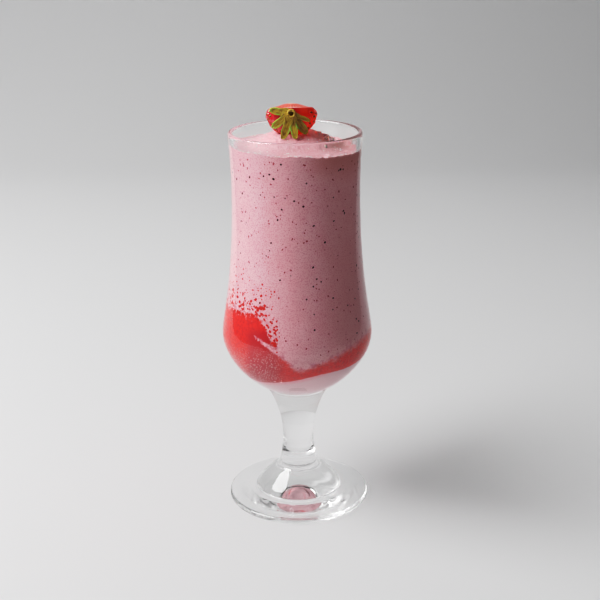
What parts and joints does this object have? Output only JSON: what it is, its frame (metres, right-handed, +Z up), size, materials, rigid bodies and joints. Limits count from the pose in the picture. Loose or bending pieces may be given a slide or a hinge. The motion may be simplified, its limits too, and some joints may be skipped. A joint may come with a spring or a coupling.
{
  "type": "strawberry smoothie in a footed glass",
  "caption": "Pink strawberry smoothie with a slanted layer of red puree, in a clear footed tulip glass, with a halved strawberry and its leaf cap resting on the foam.",
  "frame": {"origin": "centre of the glass's foot, on the surface it stands on", "axes": "+Z up along the axis of the glass; -Y towards the side with the leaf cap; +X to the right seen from there"},
  "size_m": [0.0728, 0.0728, 0.1974],
  "materials": {
    "glass": "clear, fire-polished",
    "smoothie": "opaque pale pink, satin, flecked",
    "puree": "bright red, wet",
    "strawberry": "red, wet skin with small seeds",
    "leaf": "olive green, soft"
  },
  "bodies": {
    "root": {"glass": "glass", "smoothie": "smoothie", "puree": "puree", "smoothie_heel": "smoothie", "strawberry": "strawberry", "leaf_cap": "leaf"}
  },
  "joints": []
}
